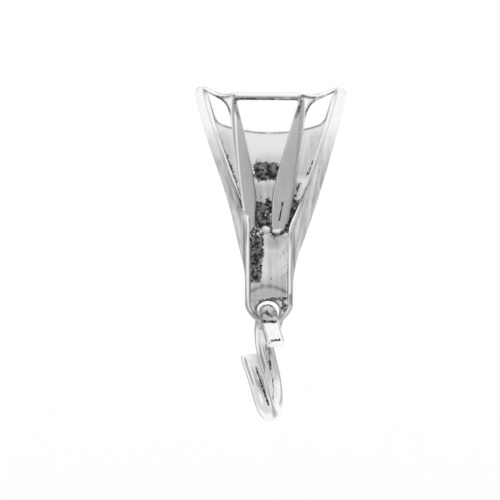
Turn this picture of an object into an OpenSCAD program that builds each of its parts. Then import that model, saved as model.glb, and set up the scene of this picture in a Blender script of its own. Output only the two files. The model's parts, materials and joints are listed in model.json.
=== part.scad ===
// Bail finding: an open cage of folded sheet silver on a narrow tab, with an open jump ring.
// Millimetres, +Z up, front at -Y. The chain or cord passes along X through the origin.

/* [Sheet] */
// Thickness of the sheet
sheet_t = 0.22; // [0.18:0.01:0.26]

/* [Tab] */
// Width of the tab over its side rims
tab_w = 2.13; // [2:0.01:2.4]
// Height of the tab, from its round end to where the shell starts to flare
tab_h = 3.4; // [3:0.1:3.8]
// Reach of the side rims, forward of the middle of the floor
rim_reach = 0.43; // [0.36:0.01:0.5]
// Reach of the lip at the round end, forward of the middle of the floor
lip_reach = 0.22; // [0.18:0.01:0.3]
// Diameter of the hole for the jump ring
hole_d = 1.08; // [1:0.01:1.1]
// Height of the floor that is left between the hole and the lip
hole_land = 0.03; // [0.02:0.01:0.06]

/* [Cage] */
// Height of the top rim above the round end of the tab
rim_z = 10.7; // [9.5:0.1:12]
// Width over the two tips
tips_w = 6.86; // [6:0.02:7.4]
// How far the tips lean back from the floor of the tab
tips_back = 1.2; // [0.9:0.05:1.5]
// Width over the creases at the ends of the front bar
front_w = 3; // [2.8:0.05:3.3]
// How far the front bar stands forward of the floor of the tab
front_reach = 1.1; // [0.9:0.05:1.3]
// Height of the top edge of the back panel above the round end of the tab, at its middle
panel_z = 8.7; // [7.5:0.05:9.2]
// Radius of the hollow top edge of the back panel
panel_edge_r = 7; // [5:0.5:10]
// Width of the front leaf of each outer arm
arm_w = 0.85; // [0.75:0.01:0.95]
// Width of the back leaf of each outer arm
arm_back_w = 0.42; // [0.36:0.01:0.5]
// Radius that rounds each tip
tip_r = 0.4; // [0.3:0.01:0.5]

/* [Front frame] */
// Height of the front bar
bar_h = 0.35; // [0.28:0.01:0.45]
// Height of a side strap where it meets the arm
strap_h = 0.2; // [0.16:0.01:0.28]
// Height of a side strap where it meets its post
strap_post_h = 0.68; // [0.5:0.02:0.8]
// Depth of the shallow scallop in the upper edge of a side strap
scallop = 0.17; // [0.08:0.01:0.2]
// Height of the feet of the posts above the round end of the tab
foot_z = 4.35; // [4.1:0.05:4.8]
// Width of the right post at its foot
foot_w = 0.7; // [0.6:0.01:0.72]
// Width of the left post at its foot
left_foot_w = 0.42; // [0.36:0.01:0.5]
// Gap between the two feet
foot_gap = 0.7; // [0.6:0.01:0.8]
// How far both feet are set to the left of the middle
foot_shift = 0.28; // [0:0.01:0.3]
// Width of the side leaf of a post at its top
side_leaf_w = 0.38; // [0.3:0.01:0.45]
// Radius of the corner between a side strap and its post
corner_r = 0.5; // [0.35:0.01:0.6]

/* [Jump ring] */
// Outer diameter of the jump ring
ring_od = 5.25; // [4.8:0.05:5.6]
// Diameter of the ring's wire
wire_d = 0.8; // [0.72:0.01:0.84]
// Gap between the ring's wire and the lip that carries it
ring_gap = 0.06; // [0.05:0.01:0.07]
// Angle of the upper cut end, above the ring's middle, in degrees
upper_end = 28; // [24:1:40]
// Angle of the lower cut end, above the ring's middle, in degrees
lower_end = 18; // [6:1:20]
// Sideways turn of the upper half of the ring, in degrees
upper_turn = 8; // [4:0.1:9]
// Sideways turn of the lower half of the ring, in degrees
lower_turn = 5.8; // [3:0.1:9]
// Lean of the whole ring to the right, in degrees
ring_lean = 8.6; // [6:0.1:9]

/* [Passage] */
// Clear width of the passage for a chain or cord
passage_d = 0.8; // [0.6:0.05:0.85]

/* [Hidden] */
$fn = 48;
fine = 96;

// Small overlap that keeps joined parts of the body from just touching
bite = 0.02;
// Creases are rounded beads, a little thicker than the sheet
crease_d = sheet_t + bite;
// Middle of the sheet in the tab's walls, and the radius of its round end there
wall_x = (tab_w - sheet_t) / 2;
end_r = tab_w / 2;
// Height over which the lip's front edge slopes up to the rims
slope_h = end_r * 1.3;

// Vector helpers
function unit(v) = v / norm(v);
function mirrored(p) = [-p[0], p[1], p[2]];
function mix(a, b, t) = a + (b - a) * t;

// Point where the line through p along d meets the line through q along e
function meet(p, d, q, e) = p + d * cross(q - p, e) / cross(d, e);

// Plane through o, a and b: its first axis runs towards a, its second lies on the side of b
function plane_axes(o, a, b) =
    let (u = unit(a - o), n = unit(cross(u, b - o)))
    [u, cross(n, u), n];
function plane_matrix(o, a, b) =
    let (x = plane_axes(o, a, b))
    [for (i = [0:2]) [x[0][i], x[1][i], x[2][i], o[i]]];
function in_plane(o, a, b, p) =
    let (x = plane_axes(o, a, b))
    [(p - o) * x[0], (p - o) * x[1]];

// Corner points in the middle of the sheet, on the right side
flare_start = [wall_x, 0, tab_h];
tip = [(tips_w - sheet_t) / 2, tips_back, rim_z];
front_corner = [front_w / 2, -front_reach, rim_z];

// Height at which a rim leaves the tab's wall and turns outward along the arm
arm_normal = plane_axes(flare_start, tip, front_corner)[2];
rim_turn_z = tab_h + rim_reach * arm_normal[1] / arm_normal[2];

// Place of the back panel at a height z
function panel_y(z) = tips_back * (z - tab_h) / (rim_z - tab_h);

// Front frame: the feet rest on the floor, a small bite into it
foot_y = panel_y(foot_z) - sheet_t + bite;
frame_origin = [0, foot_y, foot_z];
frame_top = [0, -front_reach, rim_z];
frame_len = norm(frame_top - frame_origin);
// Sideways shift of the front frame at the share t of its height
function frame_shift(t) = -foot_shift * (1 - t);

// Inner edge of a post, upward from its foot: share of the frame's height, and share of the way
// from the gap between the feet to the width of the window under the bar
HEIGHT = 0;
SPREAD = 1;
foot_share = foot_w / 2 / frame_len;
bar_share = 1 - bar_h / frame_len;
inner_rows = [
    [foot_share, 0],
    [0.32, 0.04],
    [0.50, 0.30],
    [bar_share, 1],
];
window_half = (front_w - sheet_t) / 2;
function inner_point(row, side) =
    [side * mix(foot_gap / 2, window_half, row[SPREAD]) + frame_shift(row[HEIGHT]),
        row[HEIGHT] * frame_len];
function foot_width(side) = side > 0 ? foot_w : left_foot_w;
function foot_corner(side) =
    [side * (foot_gap / 2 + foot_width(side)) + frame_shift(foot_share), foot_share * frame_len];
function foot_middle(side) =
    side * (foot_gap + foot_width(side)) / 2 + frame_shift(foot_share);
function frame_place(p) =
    frame_origin + [p[0], 0, 0] + unit(frame_top - frame_origin) * p[1];

// Where the arm's front leaf ends along the top of a strap
arm_edge =
    norm(front_corner - tip)
    * (1 - arm_w / in_plane(flare_start, tip, front_corner, front_corner)[1]);
// Share of a post's height at which its side leaf has tapered away
leaf_share = 0.72;
solder_r = 0.2;

// Middle of the chain's passage, under the straps, measured from the round end of the tab. Its
// share is counted from the front bar back to the tips.
passage_share = 0.36;
passage_y = mix(-front_reach, tips_back, passage_share);
passage_z = rim_z - (strap_h + strap_post_h) / 2 - passage_d / 2 - bite;

// Jump ring: radius of the wire's middle line, the hole, and the ring's middle
ring_r = (ring_od - wire_d) / 2;
hole_z = sheet_t + hole_land + hole_d / 2;
wire_top_z = sheet_t + hole_land + ring_gap + wire_d / 2;
lip_y = (sheet_t / 2 - lip_reach) / 2;
ring_x = ring_r * (sin(ring_lean) - sin(upper_turn) * cos(ring_lean));
ring_z = wire_top_z - ring_r * (cos(ring_lean) + sin(upper_turn) * sin(ring_lean));
half_turn = 180;
bead_h = wire_d / 4;

// Bead of round wire from a to b
module rod(a, b, d) {
    v = b - a;
    translate(a)
    rotate([0, acos(v[2] / norm(v)), atan2(v[1], v[0])])
    cylinder(d = d, h = norm(v));
}

// Plate of sheet in the plane through o, a and b, from a flat outline
module plate(o, a, b) {
    multmatrix(plane_matrix(o, a, b))
    linear_extrude(sheet_t, center = true)
    children();
}

module both_sides() {
    children();
    mirror([1, 0, 0]) children();
}

// Flat piece between two edges that leave the corner k along d1 and d2, and a circle that
// touches both. Added, it fills an inner corner; taken away, it rounds an outer one.
module corner_piece(k, d1, d2, r) {
    half = acos(d1 * d2) / 2;
    reach = r / tan(half);
    middle = k + unit(d1 + d2) * r / sin(half);
    difference() {
        polygon([k - (d1 + d2) * bite, k + d1 * reach - d2 * bite, middle, k + d2 * reach - d1 * bite]);
        translate(middle) circle(r = r);
    }
}

// Front view of the tab, drawn in by an inset
module tab_outline(inset) {
    translate([0, end_r]) circle(r = end_r - inset);
    translate([inset - end_r, end_r]) square([tab_w - 2 * inset, tab_h - end_r]);
}

// Floor, round lip and side walls of the tab. The lip's front edge slopes up to the rims.
module tab() {
    difference() {
        translate([0, sheet_t / 2, 0])
        rotate([90, 0, 0])
        linear_extrude(sheet_t / 2 + rim_reach)
        difference() {
            tab_outline(0);
            tab_outline(sheet_t);
            translate([-tab_w, slope_h]) square([2 * tab_w, rim_z]);
        }
        translate([0, -lip_reach, 0])
        rotate([atan2(rim_reach - lip_reach, slope_h), 0, 0])
        translate([-tab_w, -2 * rim_reach, -rim_reach])
        cube([2 * tab_w, 2 * rim_reach, rim_z]);
    }
    difference() {
        rotate([90, 0, 0])
        linear_extrude(sheet_t, center = true)
        tab_outline(bite);
        translate([0, 0, hole_z])
        rotate([90, 0, 0])
        cylinder(d = hole_d, h = 2 * sheet_t, center = true);
    }
    both_sides() tab_wall(slope_h - bite);
}

module tab_wall(from_z) {
    translate([wall_x, 0, 0])
    rotate([90, 0, -90])
    linear_extrude(sheet_t, center = true)
    polygon([[0, from_z], [rim_reach, from_z], [rim_reach, rim_turn_z], [0, tab_h]]);
}

// Back panel with a hollow top edge, and the back leaves of the arms above it
module back_panel() {
    o = [0, 0, tab_h];
    b = [0, tips_back, rim_z];
    top = in_plane(o, flare_start, b, tip);
    edge = in_plane(o, flare_start, b, [0, panel_y(panel_z), panel_z]);
    run = unit(top - [wall_x, 0]);
    leaf_x = arm_back_w / run[1];
    plate(o, flare_start, b)
    difference() {
        polygon([[-wall_x, 0], [wall_x, 0], top, [-top[0], top[1]]]);
        intersection() {
            polygon([[leaf_x - wall_x, 0], [wall_x - leaf_x, 0],
                top - [leaf_x, 0] + run, [leaf_x - top[0], top[1]] + [-run[0], run[1]]]);
            translate(edge + [0, panel_edge_r]) circle(r = panel_edge_r, $fn = fine);
        }
        both_sides() corner_piece(top, [-1, 0], -run, tip_r);
    }
    rod(mirrored(flare_start), flare_start, crease_d);
}

// Front leaf of the right arm, from the tab's wall to the rounded tip
module arm() {
    o = flare_start;
    turn = in_plane(o, tip, front_corner, [wall_x, -rim_reach, rim_turn_z]);
    end = in_plane(o, tip, front_corner, tip);
    front = in_plane(o, tip, front_corner, front_corner);
    along = unit(front - end);
    plate(o, tip, front_corner)
    difference() {
        polygon([[0, 0], turn, [turn[0] + arm_w, arm_w], end + along * arm_w / along[1], end]);
        corner_piece(end, along, [-1, 0], tip_r);
    }
    round_off = tip_r / tan(acos(-along[0]) / 2);
    rod(o, tip - unit(tip - o) * round_off, crease_d);
    rod(o, [wall_x, -rim_reach, rim_turn_z], crease_d);
}

// Side leaf of a post with the strap that ties it to its arm; side is 1 on the right, -1 on the left
module strap(side) {
    corner = [side * front_corner[0], front_corner[1], front_corner[2]];
    far = [side * tip[0], tip[1], tip[2]];
    foot = frame_place(foot_corner(side));
    crease = in_plane(corner, far, foot, foot);
    down = unit(crease);
    inward = [down[1], -down[0]];
    leaf_end = crease * leaf_share;
    leaf_edge = unit(leaf_end - inward * side_leaf_w);
    lower_edge = unit([arm_edge, strap_h] - [0, strap_post_h]);
    scallop_r = (pow(arm_edge / 2, 2) + pow(scallop, 2)) / (2 * scallop);
    inner_corner = meet([0, strap_post_h], lower_edge, inward * side_leaf_w, leaf_edge);
    plate(corner, far, foot) {
        difference() {
            polygon([[0, 0], [arm_edge + bite, 0], [arm_edge + bite, strap_h], [0, strap_post_h]]);
            translate([arm_edge / 2, scallop - scallop_r]) circle(r = scallop_r, $fn = fine);
        }
        polygon([[0, scallop / 2], inward * side_leaf_w + down * scallop, leaf_end]);
        corner_piece(inner_corner, lower_edge, leaf_edge, corner_r);
    }
    rod(corner, foot, crease_d);
}

// Front bar and posts in one flat frame, with round feet
module front_frame() {
    right_edge = [for (row = inner_rows) inner_point(row, 1)];
    left_edge = [for (i = [len(inner_rows) - 1:-1:0]) inner_point(inner_rows[i], -1)];
    below = [0, -foot_w];
    plate(frame_origin, frame_origin + [1, 0, 0], frame_top)
    difference() {
        union() {
            polygon([foot_corner(-1), foot_corner(1),
                [front_w / 2, frame_len], [-front_w / 2, frame_len]]);
            for (side = [-1, 1])
                translate([foot_middle(side), foot_w / 2])
                circle(d = foot_width(side));
        }
        polygon(concat([right_edge[0] + below], right_edge, left_edge,
            [left_edge[len(left_edge) - 1] + below]));
    }
}

// Solder under the two feet and between them
module solder() {
    for (x = [foot_middle(-1), -foot_shift, foot_middle(1)])
        translate([x, foot_y + sheet_t / 2, foot_z + foot_w / 2])
        sphere(r = solder_r);
}

module bail_body() {
    color("silver")
    translate([0, -passage_y, -passage_z]) {
        tab();
        back_panel();
        both_sides() arm();
        for (side = [-1, 1]) strap(side);
        front_frame();
        solder();
    }
}

// Part of the ring in the YZ plane, between two angles measured upward from its near point.
// The far point of its middle line is at the origin.
module ring_arc(from, to) {
    translate([0, -ring_r, 0])
    rotate([90, 0, -90])
    rotate([0, 0, from])
    rotate_extrude(angle = to - from)
    translate([ring_r, 0])
    circle(d = wire_d);
}

// The two halves of the ring meet at the far point, in a short bead that is a bite thicker than
// the wire, and are turned apart about the upright there.
module jump_ring() {
    color("gainsboro")
    translate([0, -passage_y, -passage_z])
    translate([ring_x, lip_y, ring_z])
    rotate([0, -ring_lean, 0])
    translate([0, ring_r, 0]) {
        rotate([0, 0, upper_turn]) ring_arc(upper_end, half_turn);
        rotate([0, 0, -lower_turn]) ring_arc(-half_turn, lower_end);
        cylinder(d = wire_d + bite, h = bead_h, center = true);
    }
}

bail_body();
jump_ring();
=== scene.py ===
"""Looks of a small silver bail finding with an open jump ring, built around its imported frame.

Sizes are in millimetres and measured from the round end of the tab, as a bench maker would take
them, and are turned into the metres of the frame when a mesh is made.
"""
import json
import logging
import math
from dataclasses import dataclass, field
from enum import Enum
from typing import Callable

import bpy
import numpy as np
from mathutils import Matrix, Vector

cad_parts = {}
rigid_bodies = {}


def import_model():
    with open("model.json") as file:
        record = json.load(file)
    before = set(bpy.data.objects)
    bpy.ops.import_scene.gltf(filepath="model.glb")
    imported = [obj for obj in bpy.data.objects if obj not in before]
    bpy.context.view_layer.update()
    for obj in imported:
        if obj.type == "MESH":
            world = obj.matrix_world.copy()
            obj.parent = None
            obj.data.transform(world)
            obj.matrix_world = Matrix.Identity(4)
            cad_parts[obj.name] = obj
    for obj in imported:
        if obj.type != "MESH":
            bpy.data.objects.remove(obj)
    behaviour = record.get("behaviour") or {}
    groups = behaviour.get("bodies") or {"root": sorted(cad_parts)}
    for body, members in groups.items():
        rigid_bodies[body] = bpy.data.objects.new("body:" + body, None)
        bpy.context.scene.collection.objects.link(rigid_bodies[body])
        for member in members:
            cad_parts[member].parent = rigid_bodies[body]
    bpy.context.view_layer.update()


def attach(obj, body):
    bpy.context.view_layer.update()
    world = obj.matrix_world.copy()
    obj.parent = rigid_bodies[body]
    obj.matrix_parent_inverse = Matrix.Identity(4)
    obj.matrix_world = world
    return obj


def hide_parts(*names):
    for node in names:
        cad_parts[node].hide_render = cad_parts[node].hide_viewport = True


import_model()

log = logging.getLogger("bail")
Array = np.ndarray
Field = Callable[[Array, Array, Array], Array]
Colour = tuple[float, float, float, float]
Socket = bpy.types.NodeSocket
Value = Socket | float | Colour
Groups = dict[str, bpy.types.NodeTree]


# Fields and vectors

def vec(*values: float) -> Array:
    """Point or direction as an array of doubles."""
    return np.array(values, float)


def unit(v: Array) -> Array:
    """Vector of length one along v."""
    return v / np.linalg.norm(v)


def smooth_max(a: Array, b: Array, k: float | Array) -> Array:
    """Larger of two fields, with the crease between them rounded.

    Formula: the maximum, plus a quarter of k times the square of h, where h falls from 1 where
    the fields are equal to 0 where they differ by k.

    Args:
        a: First field.
        b: Second field.
        k: Width of the rounding, in millimetres.

    Returns:
        The blended field.
    """
    h = np.maximum(k - np.abs(a - b), 0) / k
    return np.maximum(a, b) + h * h * k * 0.25


def smooth_min(a: Array, b: Array, k: float | Array) -> Array:
    """Smaller of two fields, rounded as in smooth_max."""
    return -smooth_max(-a, -b, k)


def rounded(a: Array, b: Array, radius: float) -> Array:
    """Larger of two fields, with a true arc of that radius where their surfaces meet.

    Formula: the length of the two fields' excess over minus the radius, plus the larger field
    where both lie deeper than the radius.
    """
    return (np.hypot(np.maximum(a + radius, 0), np.maximum(b + radius, 0))
            + np.minimum(np.maximum(a, b), -radius))


def smooth_step(low: float, high: float, x: Array) -> Array:
    """Ramp from 0 at low to 1 at high, flat at both ends: t squared times (3 minus 2 t)."""
    t = np.clip((x - low) / (high - low), 0, 1)
    return t * t * (3 - 2 * t)


def bell(x: Array, middle: float | Array, width: float | Array) -> Array:
    """Bell curve: e to the minus square of the distance from its middle, counted in widths."""
    return np.exp(-((x - middle) / width) ** 2)


def along(point: Array, direction: Array, x: Array, y: Array, z: Array) -> Array:
    """Distance from a point along a direction: the dot product of the two."""
    return ((x - point[0]) * direction[0] + (y - point[1]) * direction[1]
            + (z - point[2]) * direction[2])


# Painted shadows, dark reflections and shade

# How far a step to the right, to the back and upward goes across and up in the front view
SEEN_ACROSS = vec(1, 0.052, 0)
SEEN_UP = vec(0, 0.139, 0.990)


@dataclass(frozen=True)
class Stain:
    """A painted shadow, dark reflection or shade, measured on the upright plane square to the
    front view.

    Attributes:
        across: Its middle, in millimetres to the right.
        up: Its middle, in millimetres above the round end of the tab.
        half_across: Half its width.
        half_up: Half its height.
        depth: How much of it is covered, from 0 to 1.
        lean: Run to the right for each millimetre upward.
        slope: Rise for each millimetre to the right.
        bend: Rise for each square millimetre away from its middle.
        soft: Width of its soft edge.
    """

    across: float
    up: float
    half_across: float
    half_up: float
    depth: float
    lean: float = 0.0
    slope: float = 0.0
    bend: float = 0.0
    soft: float = 0.05

    def cover(self, across: Array, up: Array) -> Array:
        """Share of the metal covered: the depth inside, falling to 0 over the soft edge.

        Args:
            across: Places to the right in the front view.
            up: Places upward there.

        Returns:
            Values from 0 to the depth.
        """
        a = across - self.across - self.lean * (up - self.up)
        u = up - self.up - self.slope * a - self.bend * a * a
        inside_a = 1 - smooth_step(-self.soft, self.soft, np.abs(a) - self.half_across)
        inside_u = 1 - smooth_step(-self.soft, self.soft, np.abs(u) - self.half_up)
        return inside_a * inside_u * self.depth


def painted_cover(stains: tuple[Stain, ...], verts: Array, shown: Array) -> Array:
    """Largest cover of any painted dark place at each point, on the side that faces the viewer.

    Args:
        stains: The painted dark places.
        verts: Points in millimetres.
        shown: Which points they lie on.

    Returns:
        Values from 0 to 1.
    """
    across, up = verts @ SEEN_ACROSS, verts @ SEEN_UP
    return np.max([s.cover(across, up) for s in stains], axis=0) * shown


def slanting_streaks(low: float = 2.3, high: float = 4.3,
                      apart: float = 0.17) -> tuple[Stain, ...]:
    """Slanting darker streaks beside the tab's right rim, unevenly set.

    Formula: the streaks follow each other up the tab, and slow waves set how far each one is
    moved, how long it is, how deep it is and how it leans.

    Args:
        low: Height at which the row starts.
        high: Height at which it ends.
        apart: Height from one stroke to the next.

    Returns:
        The streaks, from the lowest up.
    """
    return tuple(
        Stain(across=0.68 + 0.05 * math.sin(7 * up), up=up + 0.05 * math.sin(17 * up),
              half_across=0.03, half_up=0.12 + 0.08 * math.sin(9 * up) ** 2,
              depth=0.35 + 0.6 * math.sin(5 * up) ** 2, lean=1.1 + 0.2 * math.sin(3 * up),
              soft=0.04)
        for up in np.arange(low, high, apart))


# Each row: across, up, half_across, half_up and depth, and the others by name. The darks are
# painted shadows and painted dark reflections, and the shades are painted shade that greys the
# metal's colour.
# Painted shadows under the feet and painted dark reflections on the tab floor and back panel
FLOOR_SHADOWS_AND_REFLECTIONS = (
    Stain(-0.6, 3.2, 0.32, 1.2, 1.0, lean=0.05, soft=0.14),
    Stain(-0.84, 2.9, 0.1, 1.2, 0.55, soft=0.1),
    Stain(0.34, 4.14, 0.42, 0.07, 1.0, bend=1.7, soft=0.05),
    Stain(-0.72, 4.27, 0.16, 0.04, 1.0, bend=2.0, soft=0.04),
    Stain(0.08, 2.2, 0.04, 0.04, 1.0),
    Stain(0.16, 1.29, 0.66, 0.11, 0.66, slope=0.14, bend=-0.15, soft=0.1),
    Stain(-0.17, 1.19, 0.14, 0.05, 1.0, soft=0.05),
    Stain(-0.84, 0.92, 0.08, 0.2, 0.9, soft=0.12),
    Stain(0.66, 0.92, 0.16, 0.24, 0.8, soft=0.14),
    Stain(-0.35, 4.98, 0.5, 0.66, 1.0, soft=0.24),
    Stain(-0.15, 5.75, 0.25, 0.12, 0.6, soft=0.2),
    Stain(1.0, 4.95, 0.2, 0.8, 0.95, lean=0.3, soft=0.2),
    Stain(1.2, 6.0, 0.04, 0.6, 0.8, lean=0.33, soft=0.2),
    Stain(1.85, 7.1, 0.08, 0.36, 0.7, lean=0.33, soft=0.2),
    Stain(-0.15, 6.96, 0.6, 0.42, 1.0, soft=0.2),
    Stain(-1.8, 7.3, 0.12, 1.0, 0.62, lean=-0.33, soft=0.16),
)
# A dark line painted down the right post
POST_DARK_LINE = (Stain(0.52, 5.2, 0.036, 0.42, 1.0, lean=0.2, soft=0.02),)
# Painted dark reflection lines on the wire
WIRE_DARK_REFLECTIONS = (
    Stain(-0.08, 0.3, 0.4, 0.07, 1.0, bend=0.2, soft=0.03),
    Stain(0.26, -0.52, 0.24, 0.05, 1.0, slope=0.1, soft=0.03),
    Stain(-0.55, -1.87, 0.06, 0.2, 1.0, lean=-0.3, soft=0.03),
    Stain(-0.29, -2.62, 0.045, 0.8, 1.0, lean=-0.34, soft=0.03),
    Stain(0.02, -1.4, 0.04, 0.5, 0.85, lean=-0.06, soft=0.03),
    Stain(0.04, -1.66, 0.06, 0.2, 1.0, lean=-0.1, soft=0.03),
)
# Painted shade on the tab floor and back panel, with a row of slanting darker streaks
FLOOR_PAINTED_SHADE = (
    Stain(0.3, 3.85, 0.6, 0.4, 0.62, soft=0.5),
    Stain(0.3, 2.6, 0.6, 0.9, 0.34, soft=0.3),
    Stain(0.88, 3.2, 0.07, 1.1, 0.6, soft=0.08),
    Stain(-0.7, 1.05, 0.35, 0.4, 0.42, soft=0.25),
    Stain(-1.75, 7.6, 0.3, 1.1, 0.36, lean=-0.33, soft=0.25),
    Stain(1.9, 7.7, 0.4, 1.0, 0.42, lean=0.33, soft=0.3),
    Stain(0.0, 7.35, 0.8, 0.28, 0.4, soft=0.4),
    Stain(0.0, 1.62, 0.95, 0.55, 0.35, soft=0.35),
    Stain(0.0, 5.9, 1.4, 0.6, 0.6, soft=0.3),
    Stain(0.0, 7.6, 2.2, 0.15, 0.15, soft=0.4),
    Stain(-0.05, 1.86, 0.86, 0.1, 1.0, bend=-0.42, soft=0.16),
    Stain(0.16, 1.27, 0.7, 0.14, 0.4, slope=0.14, bend=-0.15, soft=0.12),
    *slanting_streaks(),
)
# Painted shade on the wire
WIRE_PAINTED_SHADE = (
    Stain(-0.1, 0.52, 0.42, 0.24, 0.62, soft=0.1),
    Stain(-0.19, -0.2, 0.08, 0.42, 0.42, lean=-0.25, soft=0.06),
    Stain(-0.25, -2.1, 0.3, 1.0, 0.5, lean=-0.3, soft=0.3),
    Stain(0.1, -1.6, 0.35, 0.8, 0.5, soft=0.2),
)

# Painted shade by height above the round end, on the arms, side leaves and front frame: heights,
# and values there
ARM_PAINTED_SHADE = ((3.4, 6.1, 7.4, 8.4, 9.1), (0.58, 0.64, 0.58, 0.22, 0.0))
LEAF_PAINTED_SHADE = ((6.5, 8.2, 9.2), (0.5, 0.3, 0.0))
FRAME_PAINTED_SHADE = ((8.0, 9.4), (0.2, 0.0))


@dataclass(frozen=True)
class EdgeShadeLine:
    """A line of painted shade along the free edges of a sheet.

    Attributes:
        inset: How far inside the edge its middle runs.
        width: Width of its bell curve.
        weight: How dark it is, from 0 to 1.
        fade_from: Upward part of the normal at which it starts to fade.
        fade_to: Upward part of the normal at which it is gone.
    """

    inset: float | Array
    width: float | Array
    weight: float | Array
    fade_from: float
    fade_to: float

    def drawn(self, cut: Array, rise: Array) -> Array:
        """Darkness of the painted shade line.

        Formula: a bell curve of the distance from the edge, less on metal that faces upward.

        Args:
            cut: Distances from the free edge, negative inside it.
            rise: Upward parts of the normals.

        Returns:
            Values from 0 to 1.
        """
        fade = 1 - smooth_step(self.fade_from, self.fade_to, rise)
        return self.weight * bell(cut, -self.inset, self.width) * fade


# Drops of solder, each row: place to the right, in front of the floor and upward, and radius
SOLDER_DROPS = (
    (-0.2, 0, 4.41, 0.2), (-0.33, 0, 4.34, 0.15), (-0.05, 0, 4.4, 0.15), (0.34, 0, 4.36, 0.17),
    (-0.52, 0, 4.22, 0.08), (-0.7, 0, 4.2, 0.06), (-0.9, 0, 4.34, 0.08), (-0.42, 0, 4.1, 0.05),
    (-0.84, 0, 4.1, 0.05), (-0.88, 0, 3.86, 0.04),
    (0.05, 0, 4.2, 0.07), (0.13, 0, 4.1, 0.06), (0.2, 0, 4.0, 0.05),
    (0.2, 0.22, 4.36, 0.07), (0.33, 0.22, 4.32, 0.08), (0.46, 0.22, 4.36, 0.07),
)


# Meshes

@dataclass
class SurfaceNet:
    """Closed surface drawn where a field is zero.

    Attributes:
        shape: Field that is negative inside the metal.
        low: Lowest corner of the box that is searched.
        high: Highest corner of that box.
        step: Side of a cell.
    """

    shape: Field
    low: Array
    high: Array
    step: float
    corners: Array = field(default_factory=lambda: np.array(
        [[i, j, k] for i in (0, 1) for j in (0, 1) for k in (0, 1)]))

    def build(self, rounds: int) -> tuple[Array, Array, Array]:
        """Finds the cells that the surface crosses and joins them with squares.

        Formula: each crossed cell gets one point, the mean of the places where the field changes
        sign on its twelve edges. Each crossed grid edge gets one square through its four cells.
        The points are then evened out and drawn back to the surface along the field's slope.

        Args:
            rounds: How many times the points are evened out.

        Returns:
            Points, squares, and the outward normal at each point.
        """
        axes = [np.arange(lo, hi, self.step) for lo, hi in zip(self.low, self.high)]
        values = self.shape(axes[0][:, None, None], axes[1][None, :, None],
                            axes[2][None, None, :]).astype(np.float32)
        inside = values < 0
        shape = np.array(values.shape) - 1
        count = np.zeros(shape, np.int8)
        for c in self.corners:
            count += inside[tuple(slice(c[a], c[a] + shape[a]) for a in range(3))]
        cells = np.argwhere((count > 0) & (count < 8))
        index = np.full(shape, -1, np.int32)
        index[tuple(cells.T)] = np.arange(len(cells))
        points = self.cell_points(values, cells)
        quads = np.concatenate([self.axis_quads(inside, index, a) for a in range(3)])
        verts = self.low + points * self.step
        for _ in range(rounds):
            verts = self.project(self.even(verts, quads))
        verts = self.project(verts)
        return verts, quads, self.slope(verts)[0]

    def cell_points(self, values: Array, cells: Array) -> Array:
        """Mean crossing point of each cell.

        Args:
            values: The field at the grid's corners.
            cells: Indices of the cells that the surface crosses.

        Returns:
            One point for each cell, in grid units.
        """
        total, hits = np.zeros((len(cells), 3)), np.zeros(len(cells))
        for a in range(3):
            for start in self.corners[self.corners[:, a] == 0]:
                p = cells + start
                q = p.copy()
                q[:, a] += 1
                f, g = values[tuple(p.T)], values[tuple(q.T)]
                crossed = (f < 0) != (g < 0)
                share = np.where(crossed, f / np.where(crossed, f - g, 1), 0)
                place = p.astype(float)
                place[:, a] += share
                total += place * crossed[:, None]
                hits += crossed
        return total / hits[:, None]

    @staticmethod
    def axis_quads(inside: Array, index: Array, axis: int) -> Array:
        """Squares through the grid edges that run along one axis, turned outwards.

        Args:
            inside: Which grid corners lie in the metal.
            index: Number of each crossed cell's point.
            axis: The axis that the edges run along.

        Returns:
            Squares, as rows of four points' numbers.
        """
        lead, other = [a for a in range(3) if a != axis]
        first = np.take(inside, range(inside.shape[axis] - 1), axis)
        second = np.take(inside, range(1, inside.shape[axis]), axis)
        edges = np.argwhere(first != second)
        keep = np.ones(len(edges), bool)
        for a in (lead, other):
            keep &= (edges[:, a] > 0) & (edges[:, a] < index.shape[a])
        edges = edges[keep]
        ring = []
        for di, dj in ((1, 1), (0, 1), (0, 0), (1, 0)):
            cell = edges.copy()
            cell[:, lead] -= di
            cell[:, other] -= dj
            ring.append(index[tuple(cell.T)])
        quads = np.stack(ring, 1)
        outward = first[tuple(edges.T)] ^ (axis == 1)
        return np.where(outward[:, None], quads, quads[:, ::-1])

    @staticmethod
    def even(verts: Array, quads: Array) -> Array:
        """Moves each point half way to the mean of its neighbours along the squares' edges.

        Args:
            verts: The points.
            quads: The squares between them.

        Returns:
            The moved points.
        """
        a = quads.ravel()
        b = np.roll(quads, 1, 1).ravel()
        ends = np.concatenate([a, b])
        others = np.concatenate([b, a])
        count = np.bincount(ends, minlength=len(verts))[:, None]
        mean = np.stack([np.bincount(ends, verts[others, c], len(verts)) for c in range(3)], 1)
        return verts + 0.5 * (mean / count - verts)

    def slope(self, verts: Array, reach: float = 0.012) -> tuple[Array, Array]:
        """Direction in which the field grows, and how fast, from differences either side.

        Args:
            verts: Points at which it is worked out.
            reach: Length of the step to either side.

        Returns:
            Unit vectors, and the growth along them.
        """
        tiny = 1e-6
        rise = np.stack([
            self.shape(*(verts + step).T) - self.shape(*(verts - step).T)
            for step in np.eye(3) * reach], 1) / (2 * reach)
        size = np.maximum(np.linalg.norm(rise, axis=1, keepdims=True), tiny)
        return rise / size, size

    def project(self, verts: Array) -> Array:
        """Draws points to the surface by one step of Newton's method, at most half a cell."""
        direction, size = self.slope(verts)
        miss = self.shape(*verts.T)[:, None] / size
        return verts - direction * np.clip(miss, -self.step / 2, self.step / 2)


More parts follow.
